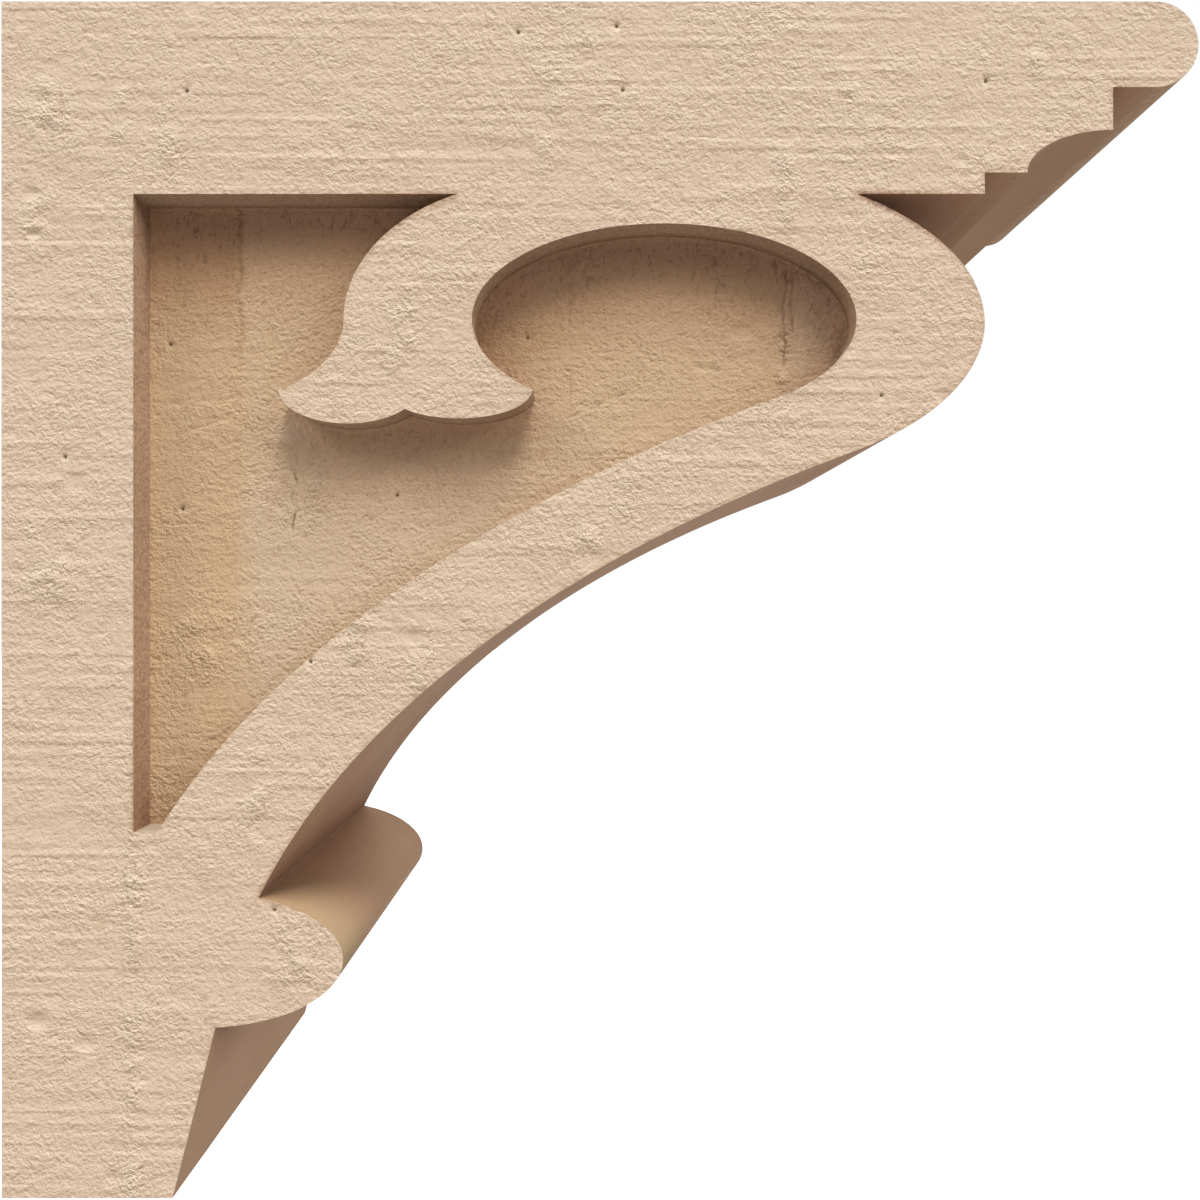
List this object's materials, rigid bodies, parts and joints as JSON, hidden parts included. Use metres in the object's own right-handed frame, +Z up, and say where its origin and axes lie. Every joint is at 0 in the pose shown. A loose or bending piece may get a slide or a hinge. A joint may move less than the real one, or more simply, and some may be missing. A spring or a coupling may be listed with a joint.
{
  "type": "corbel",
  "caption": "Square porch corbel with a stepped crown, an open scroll, a curved brace and a bullnose foot, moulded in one piece with a rough-sawn face.",
  "frame": {"origin": "middle of the flat face that goes against the wall", "axes": "+X leaves the wall, +Z is up, and Y runs across the thickness"},
  "size_m": [0.7111, 0.1524, 0.7112],
  "materials": {
    "primed_body": "matt tan primer over a moulded rough-sawn surface"
  },
  "bodies": {
    "root": {"corbel_body": "primed_body"}
  },
  "joints": []
}
